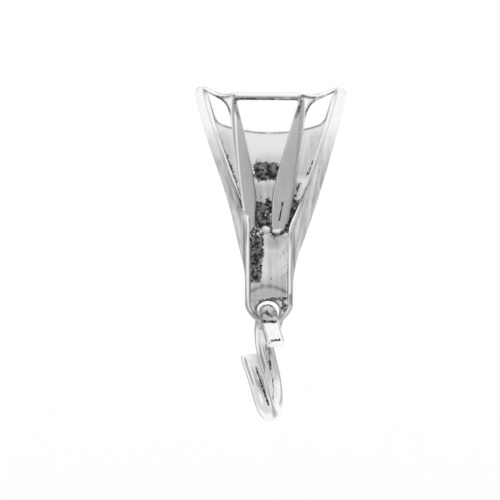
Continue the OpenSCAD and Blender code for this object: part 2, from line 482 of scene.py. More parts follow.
def make_object(name: str, verts: Array, faces: Array, origin: Array,
                normals: Array | None = None, tris: Array | None = None,
                marks: dict[str, Array] | None = None) -> bpy.types.Object:
    """Puts whole arrays into a new mesh object that stands at the frame's origin.

    Args:
        name: Name of the piece.
        verts: Points in millimetres, measured from the round end of the tab.
        faces: Squares, as rows of four indices.
        origin: The frame's origin in those millimetres.
        normals: Outward normals at the points, if the shading follows them.
        tris: Triangles, as rows of three indices, such as the caps of a wire.
        marks: Values from 0 to 1 at the points, by name, for the materials.

    Returns:
        The new object.
    """
    mesh = bpy.data.meshes.new(name)
    rows = [faces] if tris is None else [faces, tris]
    loops = np.concatenate([r.ravel() for r in rows]).astype(np.int32)
    sizes = np.concatenate([np.full(len(r), r.shape[1]) for r in rows]).astype(np.int32)
    mesh.vertices.add(len(verts))
    mesh.vertices.foreach_set("co", ((verts - origin) / 1000).astype(np.float32).ravel())
    mesh.loops.add(len(loops))
    mesh.loops.foreach_set("vertex_index", loops)
    mesh.polygons.add(len(sizes))
    starts = np.concatenate([[0], np.cumsum(sizes)[:-1]]).astype(np.int32)
    mesh.polygons.foreach_set("loop_start", starts)
    mesh.update(calc_edges=True)
    mesh.polygons.foreach_set("use_smooth", np.ones(len(sizes), bool))
    for label, values in (marks or {}).items():
        mesh.attributes.new(label, "FLOAT", "POINT").data.foreach_set(
            "value", values.astype(np.float32))
    if normals is not None:
        mesh.normals_split_custom_set_from_vertices(normals)
    mesh.validate()
    obj = bpy.data.objects.new(name, mesh)
    bpy.context.scene.collection.objects.link(obj)
    return obj


# The bail

class Face(Enum):
    """Side of the bail that a strap and a post's side leaf lie on."""

    LEFT = -1
    RIGHT = 1


@dataclass
class BailBody:
    """The folded and soldered sheet: tab, cage, straps, front bar and posts.

    Lengths are in millimetres. The first block holds the sizes of the frame's source. The blocks
    after it hold what a bench maker's hand adds: bends, worn edges, rounded corners and solder.
    The last two hold the settings of the painted marks and shade, and of the mesh.
    """

    sheet: float = 0.22
    tab_width: float = 2.13
    tab_height: float = 3.4
    rim_reach: float = 0.43
    lip_reach: float = 0.22
    hole: float = 1.08
    hole_land: float = 0.03
    rim_height: float = 10.7
    tips_width: float = 6.86
    tips_back: float = 1.2
    front_width: float = 3.0
    front_reach: float = 1.1
    panel_height: float = 8.7
    panel_edge_radius: float = 7.0
    arm_width: float = 0.85
    arm_back_width: float = 0.42
    bar_height: float = 0.35
    strap_height: float = 0.2
    strap_post_height: float = 0.68
    scallop: float = 0.17
    foot_height: float = 4.35
    foot_width: float = 0.7
    left_foot_width: float = 0.42
    foot_gap: float = 0.7
    foot_shift: float = 0.28
    side_leaf_width: float = 0.38
    leaf_share: float = 0.72
    passage_share: float = 0.36
    passage_width: float = 0.8
    bite: float = 0.02

    # Tab: curve of its round end, slope of its lip and rims, hole, and uneven floor
    end_power: float = 1.55
    end_squash: float = 1.05
    rim_slant: float = 0.3
    lip_front: float = 0.16
    lip_slope: tuple[float, float] = (0.3, 1.7)
    hole_x: float = -0.05
    hole_half: float = 0.49
    hole_bottom: float = 0.22
    hole_top: float = 1.2
    floor_hollow: float = 0.05
    floor_bulge: float = 0.06
    bulge_middle: float = 2.6
    bulge_half: float = 1.5

    # Panel and arms: bows, and how their corners and the rounded tips blend
    panel_bow: float = 0.12
    panel_corner: float = 0.3
    flare_bend: float = 1.2
    arm_bow: float = 0.2
    arm_wave: float = 0.06
    arm_corner: float = 0.8
    rim_blend: float = 0.25
    rim_end: tuple[float, float] = (1.6, 2.6)
    tip_inset: float = 0.2
    tip_corner: float = 0.8
    tip_depth: float = 1.5

    # Front frame: ridge of the bar, spread of the posts, bow of their side leaves, and corners
    bar_ridge: float = 0.07
    ridge_half: float = 0.14
    spread_from: float = 0.25
    spread_power: float = 1.2
    post_slant: float = 0.97
    window_corner: float = 0.2
    leaf_bow: float = 0.1
    leaf_most: float = 1.15
    leaf_corner: float = 0.7
    scallop_corner: float = 0.08
    strap_overlap: float = 0.12

    # Free edges, folds and solder
    edge: float = 0.09
    rim_edge: float = 0.05
    hole_edge: float = 0.03
    bend: float = 0.16
    floor_bend: float = 0.1
    frame_fillet: float = 0.07
    solder_fillet: float = 0.09
    drop_fillet: float = 0.06
    drop_squash: float = 1.3

    # Marks: which normals count as facing the viewer or aside, where the painted shade round the
    # hole and the bar's painted shade line begin and are full, the solder's edge, and how far
    # recesses reach
    seen: float = -0.3
    aside: float = 0.5
    hole_shade: float = 0.9
    hole_shade_width: float = 0.12
    hole_near: tuple[float, float] = (0.6, 0.8)
    hole_above: tuple[float, float] = (0.3, 0.5)
    bar_above: tuple[float, float] = (9.3, 9.9)
    solder_edge: float = 0.04
    reaches: tuple[float, ...] = (0.12, 0.3, 0.7)

    # Side of a cell of the mesh, and how often its points are evened out
    cell: float = 0.0395
    rounds: int = 3

    def __post_init__(self) -> None:
        """Works out the corner points, planes and directions that the fields use."""
        s = self
        s.half = s.sheet / 2
        s.wall_x = s.tab_width / 2 - s.half
        s.end_radius = s.tab_width / 2
        s.flare = vec(s.wall_x, 0, s.tab_height)
        s.tip = vec(s.tips_width / 2 - s.half, s.tips_back, s.rim_height)
        s.front = vec(s.front_width / 2, -s.front_reach, s.rim_height)
        s.crease = unit(s.tip - s.flare)
        s.arm_out = unit(np.cross(s.crease, s.front - s.flare))
        s.arm_in = np.cross(s.arm_out, s.crease)
        lean = math.atan2(s.tips_back, s.rim_height - s.tab_height)
        s.panel_out = vec(0, math.cos(lean), -math.sin(lean))
        s.panel_up = vec(0, math.sin(lean), math.cos(lean))
        s.splay = (s.tip[0] - s.wall_x) / ((s.rim_height - s.tab_height) / math.cos(lean))
        s.panel_edge = (s.panel_height - s.tab_height) / math.cos(lean)
        turn_z = s.tab_height + s.rim_reach * s.arm_out[1] / s.arm_out[2]
        turn = vec(s.wall_x, -s.rim_reach, turn_z) - s.flare
        s.turn = vec(turn @ s.crease, turn @ s.arm_in)
        floor_y = s.tips_back * (s.foot_height - s.tab_height) / (s.rim_height - s.tab_height)
        s.frame_origin = vec(0, floor_y - s.sheet + s.bite, s.foot_height)
        rise = vec(0, -s.front_reach, s.rim_height) - s.frame_origin
        s.frame_length = float(np.linalg.norm(rise))
        s.frame_up = unit(rise)
        s.frame_out = vec(0, -s.frame_up[2], s.frame_up[1])
        s.hole_z = s.sheet + s.hole_land + s.hole / 2
        s.origin = vec(
            0, -s.front_reach + (s.tips_back + s.front_reach) * s.passage_share,
            s.rim_height - (s.strap_height + s.strap_post_height) / 2
            - s.passage_width / 2 - s.bite)

    def foot_shift_at(self, share: Array | float) -> Array | float:
        """Sideways set of the front frame, which fades from the feet to the bar."""
        return -self.foot_shift * (1 - share)

    def round_tip(self, from_crease: Array, z: Array) -> Array:
        """Top of an arm, rounded over where it meets the crease, and nothing further down."""
        top = z - self.rim_height
        tip = smooth_max(top, -from_crease - self.tip_inset, self.tip_corner)
        return np.where(top > -self.tip_depth, tip, top)

    def arm_bulge(self, x: Array, above: Array) -> Array:
        """How far an arm's outer face bows out between its two ends.

        Formula: on the right a parabola over the arm's height, on the left a smaller parabola
        less a single wave, which goes in a little below and out above.

        Args:
            x: Sideways places.
            above: Shares of the arm's height.

        Returns:
            Distances outward.
        """
        parabola = 4 * above * (1 - above)
        left = self.arm_wave * (parabola - np.sin(2 * math.pi * above))
        return np.where(x > 0, self.arm_bow * parabola, left)

    def side_edges(self, x: Array, y: Array, z: Array, wall: Array, arm: Array) -> Array:
        """Field of the free edges of a side: the tab's rim, then the front edge of its arm.

        Formula: the rim slants with the wall, and its reach grows smoothly from the lip to the
        full rim. The arm is a band of even width that starts narrow. One takes over from the
        other where the arm's plane leaves the wall.

        Args:
            x: Sideways places, counted outward.
            y: Places from front to back.
            z: Heights above the tab's round end.
            wall: Distances outward from the tab's wall.
            arm: Distances outward from the arm's plane.

        Returns:
            Values that are negative inside the edges.
        """
        s = self
        reach = s.lip_front + (s.rim_reach - s.lip_front) * smooth_step(*s.lip_slope, z)
        rim = (s.rim_slant * wall - y - reach) / math.hypot(1, s.rim_slant)
        up = along(s.flare, s.crease, x, y, z)
        across = along(s.flare, s.arm_in, x, y, z)
        widen = (s.arm_width - s.turn[1]) / s.arm_width
        start = (across - s.turn[1] - widen * (up - s.turn[0])) / math.hypot(1, widen)
        band = smooth_max(across - s.arm_width, start, s.arm_corner)
        share = np.maximum(smooth_step(-s.rim_blend, s.rim_blend, arm - wall),
                           1 - smooth_step(*s.rim_end, z))
        return np.maximum(band * (1 - share) + rim * share, s.round_tip(across, z))

    def floor_edges(self, x: Array, y: Array, z: Array) -> Array:
        """Field of the free edges of the tab's floor and the back panel.

        Formula: the panel's hollow top edge is an arc, which turns up along the arms' back
        leaves. The hole is an oval, flatter above its middle than below.

        Args:
            x: Sideways places.
            y: Places from front to back.
            z: Heights above the tab's round end.

        Returns:
            Values that are negative inside the edges.
        """
        s = self
        ax = np.abs(x)
        height = along(s.flare, s.panel_up, ax, y, z)
        arc = np.hypot(ax, height - s.panel_edge - s.panel_edge_radius) - s.panel_edge_radius
        from_crease = (s.wall_x + s.splay * height - ax) / math.hypot(1, s.splay)
        window = smooth_max(arc, s.arm_back_width - from_crease, s.panel_corner)
        squeeze = s.hole_half / np.where(z > s.hole_z, s.hole_top - s.hole_z,
                                         s.hole_z - s.hole_bottom)
        hole = np.hypot(x - s.hole_x, (z - s.hole_z) * squeeze) - s.hole_half
        return np.maximum(np.maximum(-window, -hole), s.round_tip(from_crease, z))

    def back_parts(self, x: Array, y: Array, z: Array) -> tuple[Array, Array, Array]:
        """Tab, back panel and two arms: their middle sheet, free edges, and which face leads.

        Formula: a solid with a rounded U for its section and flared walls is the blended
        maximum of its back and side fields. The middle of the sheet is where that is zero. The
        floor bulges a little towards the front over its height, as a parabola squared.

        Args:
            x: Sideways places.
            y: Places from front to back.
            z: Heights above the tab's round end.

        Returns:
            Distance outward from the middle of the sheet, distance to its free edges, and
            whether a side face leads there rather than the back.
        """
        s = self
        ax = np.abs(x)
        below = np.maximum((s.end_radius - z) * s.end_squash, 0)
        wall = (ax ** s.end_power + below ** s.end_power) ** (1 / s.end_power)
        wall = np.where(below > 0, wall, ax) - s.wall_x
        arm = along(s.flare, s.arm_out, ax, y, z)
        above = np.clip((z - s.tab_height) / (s.rim_height - s.tab_height), 0, 1)
        side = smooth_min(wall, arm - s.arm_bulge(x, above), s.bend)
        panel = along(s.flare, s.panel_out, ax, y, z)
        panel = panel + s.panel_bow * 4 * above * (1 - above)
        hollow = s.floor_hollow * np.minimum(ax / s.wall_x, 1) ** 2
        bulge = s.floor_bulge * np.clip(1 - ((z - s.bulge_middle) / s.bulge_half) ** 2, 0, 1) ** 2
        back = smooth_min(y + bulge, panel, s.flare_bend) + hollow
        on_side = side > back
        cut = np.where(on_side, s.side_edges(ax, y, z, wall, arm), s.floor_edges(x, y, z))
        return smooth_max(side, back, s.floor_bend), cut, on_side

    def front_parts(self, x: Array, y: Array, z: Array) -> tuple[Array, Array]:
        """Front bar, posts, side leaves and straps: their middle sheet and free edges.

        Formula: the blended maximum of the front plane and two side planes is a wedge, whose
        surface is the middle of the sheet. The bar stands forward in a low ridge, a bell curve
        over its height, and the side leaves bow out in a parabola over theirs.

        Args:
            x: Sideways places.
            y: Places from front to back.
            z: Heights above the tab's round end.

        Returns:
            Distance outward from the middle of the sheet, and distance to its free edges.
        """
        s = self
        rise = along(s.frame_origin, s.frame_up, x, y, z)
        ridge = s.bar_ridge * bell(rise, s.frame_length - s.bar_height / 2, s.ridge_half)
        front = along(s.frame_origin, s.frame_out, x, y, z) - ridge
        share = rise / s.frame_length
        bar_share = 1 - s.bar_height / s.frame_length
        climb = np.clip((share - s.spread_from) / (bar_share - s.spread_from), 0, 1)
        widest = s.front_width / 2 - s.half - s.foot_gap / 2
        wide = s.foot_gap / 2 + widest * climb ** s.spread_power
        sx = x - s.foot_shift_at(share)
        window = smooth_max((np.abs(sx) - wide) * s.post_slant,
                            rise - bar_share * s.frame_length, s.window_corner)
        foot_r = s.foot_width / 2
        foot_half = np.where(sx > 0, s.foot_width, s.left_foot_width) / 2
        foot = np.hypot(np.abs(sx) - s.foot_gap / 2 - foot_half,
                        np.minimum(rise - foot_r, 0)) - foot_half
        well_inside = -1
        front_cut = np.maximum(-window, np.where(rise < foot_r, foot, well_inside))

        left, left_cut = self.side_face(Face.LEFT, x, y, z)
        right, right_cut = self.side_face(Face.RIGHT, x, y, z)
        side_cut = np.where(right > left, right_cut, left_cut)
        bow = s.leaf_bow * 4 * np.clip(share * (1 - share), 0, None)
        left, right = left - bow, right - bow
        wedge = smooth_max(smooth_max(front, left, s.bend), right, s.bend)
        cut = np.where(front > np.maximum(left, right), front_cut, side_cut)
        return wedge, np.maximum(cut, z - s.rim_height)

    def side_face(self, face: Face, x: Array, y: Array, z: Array) -> tuple[Array, Array]:
        """Plane of one strap and side leaf, and the field of its free edges.

        Formula: the side leaf runs down the post's crease and tapers evenly to nothing. The
        strap's lower edge is a line that blends into the leaf, and its upper edge is an arc.

        Args:
            face: Left or right.
            x: Sideways places.
            y: Places from front to back.
            z: Heights above the tab's round end.

        Returns:
            Distance from the plane, positive outside the wedge, and the edges' field.
        """
        s = self
        flip = vec(face.value, 1, 1)
        corner, far = s.front * flip, s.tip * flip
        share = s.foot_width / 2 / s.frame_length
        width = s.foot_width if face is Face.RIGHT else s.left_foot_width
        foot_x = face.value * (s.foot_gap / 2 + width) + s.foot_shift_at(share)
        foot = s.frame_origin + vec(foot_x, 0, 0) + s.frame_up * s.foot_width / 2
        u_dir = unit(far - corner)
        out = unit(np.cross(u_dir, foot - corner)) * face.value
        out = out if out @ (vec(0, 0, s.foot_height) - corner) < 0 else -out
        v_dir = np.cross(out, u_dir)
        v_dir = v_dir if v_dir[2] < 0 else -v_dir
        u = along(corner, u_dir, x, y, z)
        v = along(corner, v_dir, x, y, z)
        crease = vec((foot - corner) @ u_dir, (foot - corner) @ v_dir)
        down = unit(crease)
        inward = vec(down[1], -down[0])
        arm_edge = np.linalg.norm(far - corner) * (
            1 - s.arm_width / ((s.front - s.flare) @ s.arm_in))
        from_crease = u * inward[0] + v * inward[1]
        fall = u * down[0] + v * down[1]
        taper = 1 - (fall - s.scallop) / (s.leaf_share * np.linalg.norm(crease) - s.scallop)
        leaf = from_crease - s.side_leaf_width * np.clip(taper, 0, s.leaf_most)
        slope = (s.strap_height - s.strap_post_height) / arm_edge
        lower = (v - s.strap_post_height - slope * u) / math.hypot(1, slope)
        radius = (arm_edge ** 2 / 4 + s.scallop ** 2) / (2 * s.scallop)
        upper = radius - np.hypot(u - arm_edge / 2, v - s.scallop + radius)
        edges = smooth_max(smooth_min(lower, leaf, s.leaf_corner), upper, s.scallop_corner)
        return along(corner, out, x, y, z), np.maximum(edges, u - arm_edge - s.strap_overlap)

    def solder(self, x: Array, y: Array, z: Array) -> Array:
        """Field of the solder under the feet: flattened drops, blended into each other.

        Args:
            x: Sideways places.
            y: Places from front to back.
            z: Heights above the tab's round end.

        Returns:
            Values that are negative inside the solder.
        """
        total = None
        for across, forward, up, radius in SOLDER_DROPS:
            deep = (y - self.frame_origin[1] - self.half + forward) * self.drop_squash
            drop = np.sqrt((x - across) ** 2 + deep ** 2 + (z - up) ** 2) - radius
            total = drop if total is None else smooth_min(total, drop, self.drop_fillet)
        return total

    def sheet_field(self, middle: Array, cut: Array, edge: Array | float) -> Array:
        """Sheet of even thickness about a middle surface, with rounded free edges."""
        return rounded(np.abs(middle) - self.half, cut, edge)

    def near_hole(self, x: Array, z: Array) -> Array:
        """1 round the ring's hole, falling to 0 away from it and down to the lip.

        Args:
            x: Sideways places.
            z: Heights above the tab's round end.

        Returns:
            Values from 0 to 1.
        """
        away = np.hypot(x - self.hole_x, z - self.hole_z)
        return (1 - smooth_step(*self.hole_near, away)) * smooth_step(*self.hole_above, z)

    def field(self, x: Array, y: Array, z: Array) -> Array:
        """Field of the whole soldered body: the shells and the solder, with small fillets.

        Args:
            x: Sideways places.
            y: Places from front to back.
            z: Heights above the tab's round end.

        Returns:
            Values that are negative inside the metal.
        """
        s = self
        back_edge = s.rim_edge - (s.rim_edge - s.hole_edge) * s.near_hole(x, z)
        back = s.sheet_field(*s.back_parts(x, y, z)[:2], back_edge)
        front = s.sheet_field(*s.front_parts(x, y, z), s.edge)
        solid = smooth_min(back, front, s.frame_fillet)
        return smooth_min(solid, s.solder(x, y, z), s.solder_fillet)

    def recess(self, verts: Array, normals: Array) -> Array:
        """How far the metal round each point closes it in.

        Formula: some way out from an open face the field is as large as the way. What it falls
        short by, as a share, is averaged over several ways.

        Args:
            verts: Points in millimetres.
            normals: Outward normals there.

        Returns:
            Values from 0, open, to 1, closed in.
        """
        total = np.zeros(len(verts))
        for reach in self.reaches:
            ahead = self.field(*(verts + normals * reach).T)
            total += np.clip(1 - ahead / reach, 0, 1) / len(self.reaches)
        return total

    def build(self) -> bpy.types.Object:
        """Makes the body's mesh, with the marks that its material reads.

        Formula: the field is searched in the box over the bail's corners, with a margin that
        leaves room for the folds and edges.

        Returns:
            The object.
        """
        s = self
        low = vec(-s.tips_width / 2, -s.front_reach, 0) - vec(0.15, 0.3, 0.12)
        high = vec(s.tips_width / 2, s.tips_back, s.rim_height) + vec(0.15, 0.35, 0.2)
        verts, quads, normals = SurfaceNet(s.field, low, high, s.cell).build(s.rounds)
        marks = s.marks(verts, normals)
        marks["recess"] = s.recess(verts, normals)
        marks["solder"] = 1 - smooth_step(0.0, s.solder_edge, s.solder(*verts.T))
        log.info("bail body: %d points, %d squares", len(verts), len(quads))
        return make_object("bail_sheet", verts, quads, s.origin, normals, marks=marks)

    def dress(self, sheet: bpy.types.Object, groups: Groups) -> None:
        """Gives the body its polished silver with painted shade, and its place in the frame.

        Args:
            sheet: The body's object.
            groups: The shared groups by name.
        """
        sheet.data.materials.append(SHEET_SILVER_AND_SHADE.build(groups))
        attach(sheet, "bail")
        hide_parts("bail_body")

    def marks(self, verts: Array, normals: Array) -> dict[str, Array]:
        """Values at the points for the material: painted darks, painted shade and painted shade
        lines along edges.

        Formula: each mark is the strongest of its places, each taken on its own part alone. The
        painted shade line runs on the inner side of the tab and cage and on the outer side of the
        front frame, where it grows wide and dark on the bar.

        Args:
            verts: Points in millimetres.
            normals: Outward normals there.

        Returns:
            Values from 0 to 1 by the name of the mark.
        """
        s = self
        z = verts[:, 2]
        back, back_cut, on_side = s.back_parts(*verts.T)
        front, front_cut = s.front_parts(*verts.T)
        on_front = (s.sheet_field(front, front_cut, s.edge)
                    < s.sheet_field(back, back_cut, s.rim_edge))
        on_leaf = on_front & (np.abs(normals[:, 0]) > s.aside)
        on_arm = on_side & ~on_front & (back > 0)
        shown = normals[:, 1] < s.seen
        on_floor = shown & ~on_front & ~on_side
        by_hole = s.near_hole(verts[:, 0], z)
        # Painted shadows and dark reflections on the floor and panel, and the dark line down the
        # right post
        stain = np.maximum(painted_cover(FLOOR_SHADOWS_AND_REFLECTIONS, verts, on_floor),
                           painted_cover(POST_DARK_LINE, verts, shown & on_front))
        # Painted shade on the floor, panel, arms, side leaves, front frame and round the hole's
        # rounded edge
        shade = np.max([painted_cover(FLOOR_PAINTED_SHADE, verts, on_floor),
                        np.interp(z, *ARM_PAINTED_SHADE) * on_arm,
                        np.interp(z, *LEAF_PAINTED_SHADE) * on_leaf,
                        np.interp(z, *FRAME_PAINTED_SHADE) * (on_front & shown),
                        s.hole_shade * by_hole * (back_cut > -s.hole_shade_width) * shown],
                       axis=0)
        # Lines of painted shade along the free edges, fading where the metal faces upward
        back_shade_line = EdgeShadeLine(inset=0.07, width=0.045, weight=0.8 * (1 - 0.8 * by_hole),
                             fade_from=0.2, fade_to=0.45)
        on_bar = smooth_step(*s.bar_above, z)
        front_shade_line = EdgeShadeLine(inset=0.05 + 0.05 * on_bar, width=0.04 + 0.045 * on_bar,
                              weight=0.15 + 0.85 * on_bar, fade_from=-0.05, fade_to=0.25)
        line = np.where(on_front, front_shade_line.drawn(front_cut, normals[:, 2]) * (front > 0),
                        back_shade_line.drawn(back_cut, normals[:, 2]) * (back < 0))
        return {"stain": stain, "shade": shade, "edge_line": line}


@dataclass
class JumpRing:
    """The open ring of round wire, with its two cut ends towards the viewer.

    Lengths are in millimetres and angles in degrees. The first block holds the sizes of the
    frame's source. The second holds what bending and cutting by hand adds. The third says which
    normals face the viewer, and how fine the mesh is.
    """

    body: BailBody
    outer: float = 5.25
    wire: float = 0.8
    gap: float = 0.06
    upper_end: float = 28
    lower_end: float = 18
    upper_turn: float = 8
    lower_turn: float = 5.8
    lean: float = 8.6

    shift: float = -0.02
    far_sway: float = -0.27
    upper_sway: float = -0.09
    lower_sway: float = -0.22
    rim: float = 0.05

    seen: float = -0.2
    stations: int = 240
    sides: int = 48

    def path(self, angle: Array) -> Array:
        """Middle line of the wire.

        Formula: a circle in an upright plane, whose upper and lower halves are turned apart
        about the upright through its far point, and which leans to the right as a whole. Bell
        curves of the angle sway it to the left a little: above its far point, above its upper
        cut end, and at its lower one.

        Args:
            angle: Angles in degrees, upward from the near point.

        Returns:
            One point for each angle, in millimetres.
        """
        b = self.body
        radius = (self.outer - self.wire) / 2
        lean, top = math.radians(self.lean), math.radians(self.upper_turn)
        t = np.radians(angle)
        reach = -radius * (np.cos(t) + 1)
        rise = radius * np.sin(t)
        far, blend = 180, 10
        lower_half = smooth_step(far - blend, far + blend, angle)
        turn = np.radians(self.upper_turn + (-self.lower_turn - self.upper_turn) * lower_half)
        flat = np.stack([-reach * np.sin(turn), reach * np.cos(turn) + radius, rise], 1)
        turned = np.stack([flat[:, 0] * math.cos(lean) - flat[:, 2] * math.sin(lean),
                           flat[:, 1],
                           flat[:, 0] * math.sin(lean) + flat[:, 2] * math.cos(lean)], 1)
        top_z = b.sheet + b.hole_land + self.gap + self.wire / 2
        shift = vec(self.shift + radius * (math.sin(lean) - math.sin(top) * math.cos(lean)),
                    (b.half - b.lip_reach) / 2,
                    top_z - radius * (math.cos(lean) + math.sin(top) * math.sin(lean)))
        sways = ((165, 45, self.far_sway), (self.upper_end + 27, 28, self.upper_sway),
                 (360 + self.lower_end, 22, self.lower_sway))
        for middle, width, size in sways:
            turned[:, 0] += size * bell(angle, middle, width)
        return turned + shift

    def thickness(self, line: Array) -> Array:
        """Share of the full radius along the wire, a little less where pliers have pressed it.

        Formula: one less a bell curve of the length along the wire, near each cut end.

        Args:
            line: Points of the middle line.

        Returns:
            One share for each point.
        """
        steps = np.linalg.norm(np.diff(line, axis=0), axis=1)
        length = np.concatenate([[0], np.cumsum(steps)])
        pressed = ((0.5, 0.25, 0.02), (length[-1] - 0.7, 0.3, 0.03))
        radius = np.ones(len(line))
        for middle, width, depth in pressed:
            radius -= depth * bell(length, middle, width)
        return radius

    def cut_end(self) -> tuple[Array, Array]:
        """Circles that close a cut end, from near the middle of its face to the full wire.

        Formula: three circles cross the flat face, and three more turn over its narrow rim.

        Returns:
            Each circle's share of the wire's radius, and its depth from the face.
        """
        face = np.linspace(0.1, 1 - self.rim, 4)[:-1]
        scale = np.concatenate([face, 1 - self.rim * np.array([1, 0.3, 0.05])])
        depth = np.concatenate([np.zeros(3), np.array([0, 0.3, 0.7]) * self.rim * self.wire])
        return scale, depth

    def build(self) -> bpy.types.Object:
        """Makes the wire's mesh.

        Formula: circles of the wire's radius stand square to the middle line. At each cut end
        they shrink to a point over a narrow rounded rim and a flat face.

        Returns:
            The object.
        """
        line = self.path(np.linspace(self.upper_end, 360 + self.lower_end, self.stations))
        tangent = np.gradient(line, axis=0)
        tangent /= np.linalg.norm(tangent, axis=1, keepdims=True)
        side = np.cross(tangent, vec(1, 0, 0))
        side /= np.linalg.norm(side, axis=1, keepdims=True)
        across = np.cross(side, tangent)
        end_scale, depth = self.cut_end()
        scale = np.concatenate([end_scale, self.thickness(line)[2:-2], end_scale[::-1]])
        centre = np.concatenate([line[0] + tangent[0] * depth[:, None], line[2:-2],
                                 line[-1] - tangent[-1] * depth[::-1, None]])
        side, across = (
            np.concatenate([np.repeat(v[:1], len(depth), 0), v[2:-2],
                            np.repeat(v[-1:], len(depth), 0)]) for v in (side, across))
        turn = np.linspace(0, 2 * math.pi, self.sides, endpoint=False)
        spokes = (np.cos(turn)[None, :, None] * side[:, None, :]
                  + np.sin(turn)[None, :, None] * across[:, None, :])
        rings = centre[:, None, :] + (scale * self.wire / 2)[:, None, None] * spokes
        verts = np.concatenate([rings.reshape(-1, 3), line[:1], line[-1:]])
        first_middle, last_middle = len(verts) - 2, len(verts) - 1

        grid = np.arange(len(rings) * self.sides).reshape(len(rings), self.sides)
        beside = np.roll(grid, -1, 1)
        quads = np.stack([grid[:-1], beside[:-1], beside[1:], grid[1:]], -1).reshape(-1, 4)
        tris = np.concatenate([
            np.stack([beside[0], grid[0], np.full(self.sides, first_middle)], 1),
            np.stack([grid[-1], beside[-1], np.full(self.sides, last_middle)], 1)])
        shown = np.concatenate([spokes[..., 1].ravel() < self.seen, [False, False]])
        nothing = np.zeros(len(verts))
        log.info("jump ring: %d points, %d squares", len(verts), len(quads))
        # Painted dark reflection lines and painted shade on the side of the wire that faces the
        # viewer
        return make_object("ring_wire", verts, quads, self.body.origin, tris=tris,
                           marks={"recess": nothing, "edge_line": nothing,
                                  "stain": painted_cover(WIRE_DARK_REFLECTIONS, verts, shown),
                                  "shade": painted_cover(WIRE_PAINTED_SHADE, verts, shown)})

    def dress(self, wire: bpy.types.Object, groups: Groups) -> None:
        """Gives the ring its polished silver with painted shade, and its place in the frame.

        Args:
            wire: The ring's object.
            groups: The shared groups by name.
        """
        wire.data.materials.append(WIRE_SILVER_AND_SHADE.build(groups))
        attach(wire, "ring")
        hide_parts("jump_ring")


# Materials

class Mixed(Enum):
    """What a Mix node mixes: its data type, and the numbers of its first input and output."""

    VALUES = ("FLOAT", 2, 0)
    COLOURS = ("RGBA", 6, 2)


class Nodes:
    """Short way to add nodes to a tree and join them."""

    def __init__(self, tree: bpy.types.NodeTree) -> None:
        """Keeps the tree that the nodes are added to."""
        self.tree = tree

    def join(self, a: Socket, b: Socket) -> None:
        """Joins an output to an input."""
        self.tree.links.new(a, b)

    def put(self, value: Value, socket: Socket) -> None:
        """Joins a socket to an input, or sets the input where the value is a plain one."""
        if isinstance(value, bpy.types.NodeSocket):
            self.join(value, socket)
        else:
            socket.default_value = value

    def add(self, kind: str, **values: object) -> bpy.types.Node:
        """Adds a node and sets its properties, or its inputs where a name is an input's.

        Args:
            kind: Node type, without its ShaderNode prefix where it has one.
            values: Properties or input values by name, or by "in" and the input's number.

        Returns:
            The new node.
        """
        node = self.tree.nodes.new(kind if kind.startswith("Node") else "ShaderNode" + kind)
        for name, value in values.items():
            label = name.replace("_", " ").lower()
            if hasattr(node, name):
                setattr(node, name, value)
            elif name.startswith("in") and name[2:].isdigit():
                self.put(value, node.inputs[int(name[2:])])
            else:
                self.put(value, next(s for s in node.inputs if s.name.lower() == label))
        return node

    def math(self, operation: str, *values: Value) -> Socket:
        """Adds a Math node on some values and gives its output."""
        inputs = {f"in{i}": value for i, value in enumerate(values)}
        return self.add("Math", operation=operation, **inputs).outputs[0]

    def noise(self, place: Socket, size: float, detail: float, **values: object) -> Socket:
        """Adds a noise pattern and gives its value.

        Args:
            place: Where the pattern is read.
            size: Waves to each unit of the place, a metre unless it is stretched.
            detail: Number of finer layers.
            values: Other settings by name.

        Returns:
            The pattern, from 0 to 1.
        """
        return self.add("TexNoise", Vector=place, Scale=size, Detail=detail,
                        **values).outputs["Fac"]

    def ramp(self, value: Socket, low: float, high: float, **values: object) -> Socket:
        """Adds a ramp that is 0 at low and 1 at high, and gives its output."""
        return self.add("MapRange", Value=value, From_Min=low, From_Max=high,
                        **values).outputs[0]

    def clamp(self, value: Socket) -> Socket:
        """Keeps a value between 0 and 1."""
        return self.add("Clamp", Value=value).outputs[0]

    def mix(self, kind: Mixed, share: Socket, first: Value, second: Value) -> Socket:
        """Mixes two values or two colours.

        Args:
            kind: What is mixed.
            share: How much of the second one, from 0 to 1.
            first: The first value or colour, plain or a socket.
            second: The second one.

        Returns:
            The mixed value or colour.
        """
        data_type, start, out = kind.value
        node = self.add("Mix", data_type=data_type, in0=share)
        self.put(first, node.inputs[start])
        self.put(second, node.inputs[start + 1])
        return node.outputs[out]


@dataclass
class Group:
    """A shader node group under construction, whose sockets are all floats but its place.

    Attributes:
        name: Name of the group.
        inputs: Names of its inputs beside the place.
        outputs: Names of its outputs.
    """

    name: str
    inputs: tuple[str, ...]
    outputs: tuple[str, ...]

    def __post_init__(self) -> None:
        """Makes the tree, its sockets and the nodes that stand for them inside."""
        self.tree = bpy.data.node_groups.new(self.name, "ShaderNodeTree")
        self.tree.interface.new_socket("Vector", in_out="INPUT", socket_type="NodeSocketVector")
        for labels, way in ((self.inputs, "INPUT"), (self.outputs, "OUTPUT")):
            for label in labels:
                self.tree.interface.new_socket(label, in_out=way, socket_type="NodeSocketFloat")
        self.nodes = Nodes(self.tree)
        self.given = self.nodes.add("NodeGroupInput").outputs
        self.result = self.nodes.add("NodeGroupOutput").inputs

    def put_out(self, **values: Socket) -> bpy.types.NodeTree:
        """Joins values to the outputs of those names, and gives the finished tree."""
        for label, value in values.items():
            self.nodes.join(value, self.result[label])
        return self.tree


